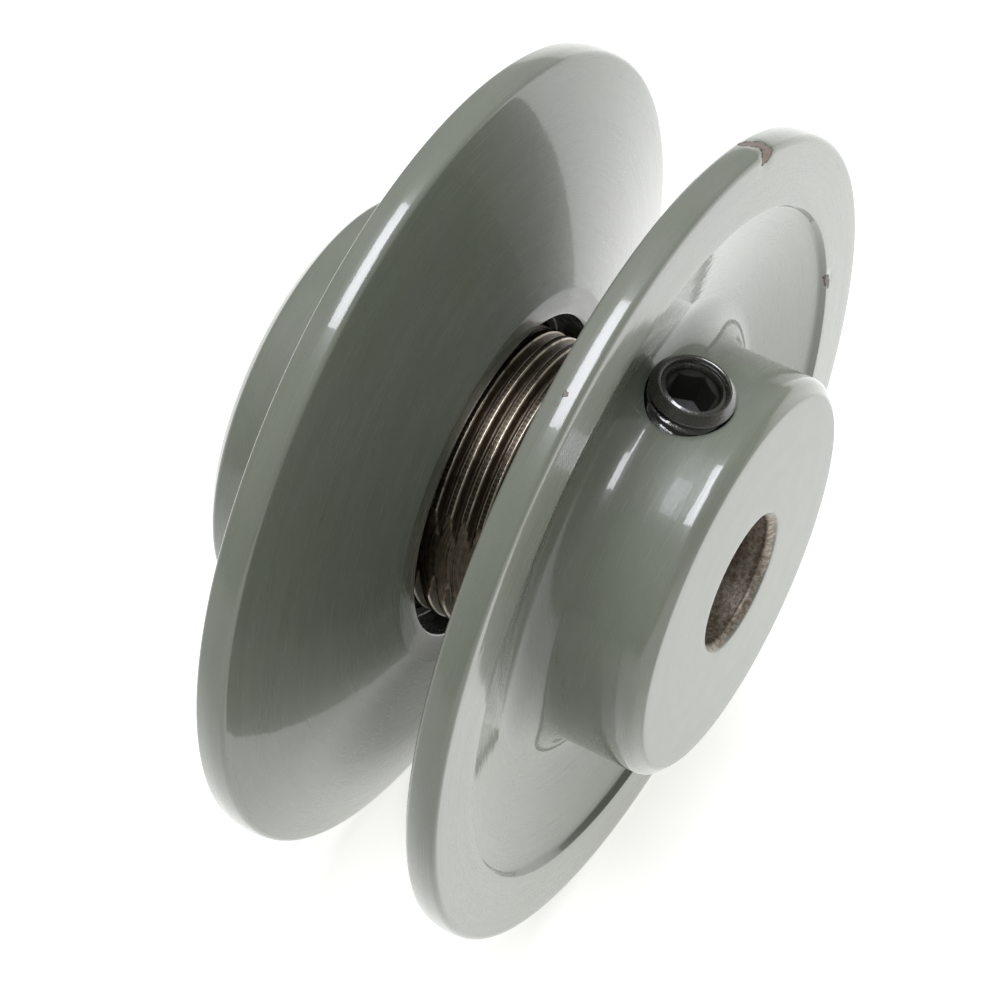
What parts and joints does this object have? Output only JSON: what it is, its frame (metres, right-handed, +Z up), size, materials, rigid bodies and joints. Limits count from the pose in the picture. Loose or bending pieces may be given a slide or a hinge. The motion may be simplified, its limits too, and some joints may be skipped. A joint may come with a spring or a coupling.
{
  "type": "v belt pulley",
  "caption": "Variable-pitch V-belt pulley: a fixed flange with hub and threaded barrel, an adjustable flange screwed on it, and socket set screws.",
  "frame": {"origin": "on the bore axis at the outer end face of the fixed half's hub", "axes": "+Y along the bore axis, from that face towards the adjustable half; +Z up with the shaft level; +X to the right, looking along +Y"},
  "size_m": [0.08, 0.0446, 0.08],
  "materials": {
    "casting_enamel": "semi-gloss grey-green enamel over cast iron",
    "black_oxide": "black oxide, lightly oiled"
  },
  "bodies": {
    "fixed_half": {"fixed_half": "casting_enamel"},
    "adjustable_half": {"adjustable_half": "casting_enamel"},
    "shaft_set_screw": {"shaft_set_screw": "black_oxide"},
    "pitch_lock_screw": {"pitch_lock_screw": "black_oxide"}
  },
  "joints": [
    {"name": "pitch_adjust", "type": "slide", "parent": "fixed_half", "child": "adjustable_half", "axis": [0, 1, 0], "range_m": [-0.00635, 0.00159]},
    {"name": "shaft_screw_travel", "type": "slide", "parent": "fixed_half", "child": "shaft_set_screw", "axis": [0.0748, -0.2198, 0.9727], "range_m": [-0.00265, 0.0112]},
    {"name": "pitch_lock_screw_travel", "type": "slide", "parent": "adjustable_half", "child": "pitch_lock_screw", "axis": [0.9806, 0, -0.1959], "range_m": [0, 0.0076]}
  ]
}
